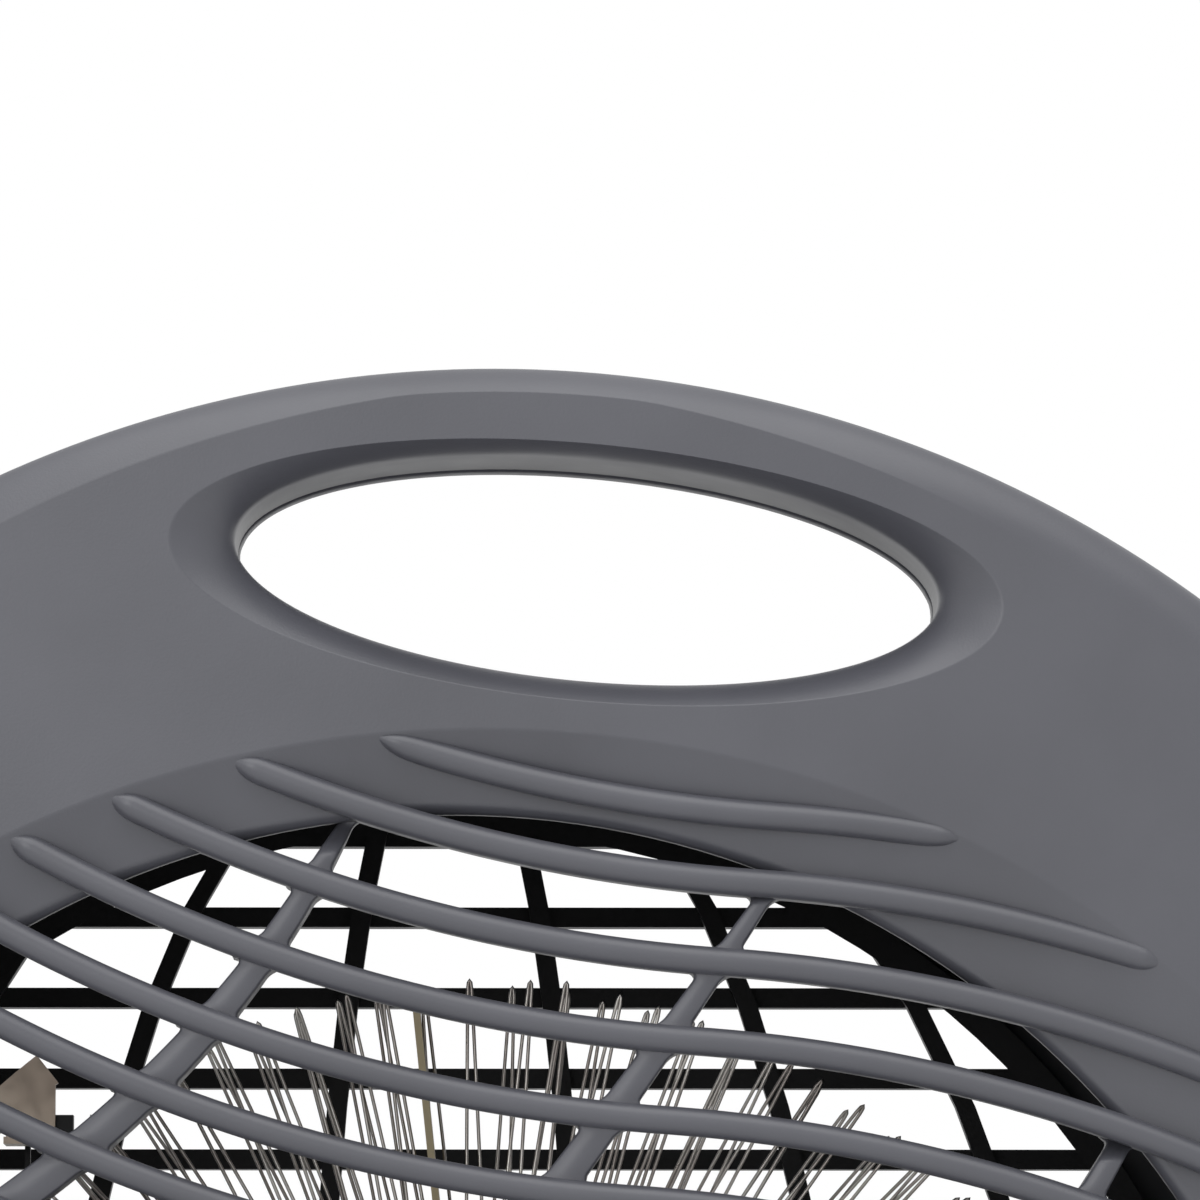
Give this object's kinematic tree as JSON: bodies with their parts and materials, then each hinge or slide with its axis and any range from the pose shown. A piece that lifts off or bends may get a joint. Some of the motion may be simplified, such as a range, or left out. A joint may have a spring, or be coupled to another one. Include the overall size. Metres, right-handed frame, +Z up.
{
  "type": "portable fan heater",
  "caption": "Round portable fan heater with a carrying slot in its rim, a swirled front grille over a sunburst heating element, and two knobs under it.",
  "frame": {"origin": "on the floor under the middle of the body, at the centre of the footprint box", "axes": "+Z up, the front grille faces -Y, +X to the right seen from the front"},
  "size_m": [0.332, 0.156, 0.344],
  "materials": {
    "body_plastic": "fine-grained satin moulding, dark blue-grey",
    "black_plastic": "satin black moulding",
    "rubber": "matt black rubber",
    "blue_plastic": "matt moulded switch case",
    "white_plastic": "semi-matt natural nylon",
    "spring_steel": "bright drawn steel",
    "zinc_steel": "zinc-plated pressed steel",
    "lamination_steel": "stacked laminations with a thin varnish",
    "winding_copper": "enamelled copper winding",
    "sintered_bronze": "oiled sintered bronze",
    "fan_plastic": "dark moulded fan, satin",
    "mica": "pressed mica board, pale and flaky",
    "heating_wire": "drawn nickel-chrome wire, faintly oxidised",
    "warm_steel": "heat-stained steel strip",
    "ceramic_white": "glazed ceramic sleeve",
    "ceramic_cream": "steatite ceramic body",
    "knob_plastic": "dark satin knob with a pale pointer line",
    "amber_lens": "translucent amber lens",
    "lamp_glass": "clear neon lamp",
    "wire_brown": "brown insulated wire",
    "wire_blue": "blue insulated wire",
    "wire_sleeve": "woven glass-fibre sleeve"
  },
  "bodies": {
    "housing": {"front_shell": "body_plastic", "rear_shell": "body_plastic", "rear_grille": "black_plastic", "base_stand": "body_plastic", "base_plate": "black_plastic", "rubber_feet": "rubber", "tip_switch": "blue_plastic", "plunger_spring": "spring_steel", "motor_bracket": "zinc_steel", "motor_core": "lamination_steel", "coil_bobbin": "white_plastic", "motor_coil": "winding_copper", "front_bearing_bridge": "zinc_steel", "rear_bearing_bridge": "zinc_steel", "motor_bearings": "sintered_bronze", "element_hub": "mica", "element_boards": "mica", "heating_wire_front": "heating_wire", "heating_wire_rear": "heating_wire", "element_posts": "zinc_steel", "element_post_screws": "zinc_steel", "cutout_bracket": "warm_steel", "thermal_cutout": "black_plastic", "thermal_fuse": "ceramic_white", "thermostat": "ceramic_cream", "selector_switch": "black_plastic", "control_nuts": "zinc_steel", "pilot_lens": "amber_lens", "pilot_lamp": "lamp_glass", "terminal_block": "white_plastic", "cord_gland": "rubber", "supply_wires": "wire_brown", "motor_wires": "wire_blue", "element_wires": "wire_sleeve", "shell_screws": "zinc_steel", "grille_screws": "zinc_steel", "bracket_screws": "zinc_steel", "motor_screws": "zinc_steel", "base_screws": "zinc_steel", "plate_screws": "zinc_steel"},
    "fan": {"fan_impeller": "fan_plastic", "fan_hub_nut": "black_plastic", "motor_shaft": "spring_steel", "motor_rotor": "lamination_steel"},
    "thermostat_control": {"thermostat_knob": "knob_plastic", "thermostat_shaft": "white_plastic"},
    "selector_control": {"selector_knob": "knob_plastic", "selector_shaft": "white_plastic"},
    "plunger": {"tip_plunger": "white_plastic"}
  },
  "joints": [
    {"name": "fan_spin", "type": "hinge", "parent": "housing", "child": "fan", "pos_m": [-0.002, 0.011, 0.169], "axis": [0, 1, 0], "continuous": true},
    {"name": "thermostat_turn", "type": "hinge", "parent": "housing", "child": "thermostat_control", "pos_m": [0.044, -0.062, 0.047], "axis": [0, 1, 0], "range_deg": [0, 270]},
    {"name": "selector_turn", "type": "hinge", "parent": "housing", "child": "selector_control", "pos_m": [-0.044, -0.062, 0.047], "axis": [0, 1, 0], "range_deg": [0, 135]},
    {"name": "plunger_press", "type": "slide", "parent": "housing", "child": "plunger", "axis": [0, 0, 1], "range_m": [-0.004, 0], "stiffness_N_per_m": 60, "springref_m": -0.008, "deforming": ["plunger_spring"]}
  ]
}
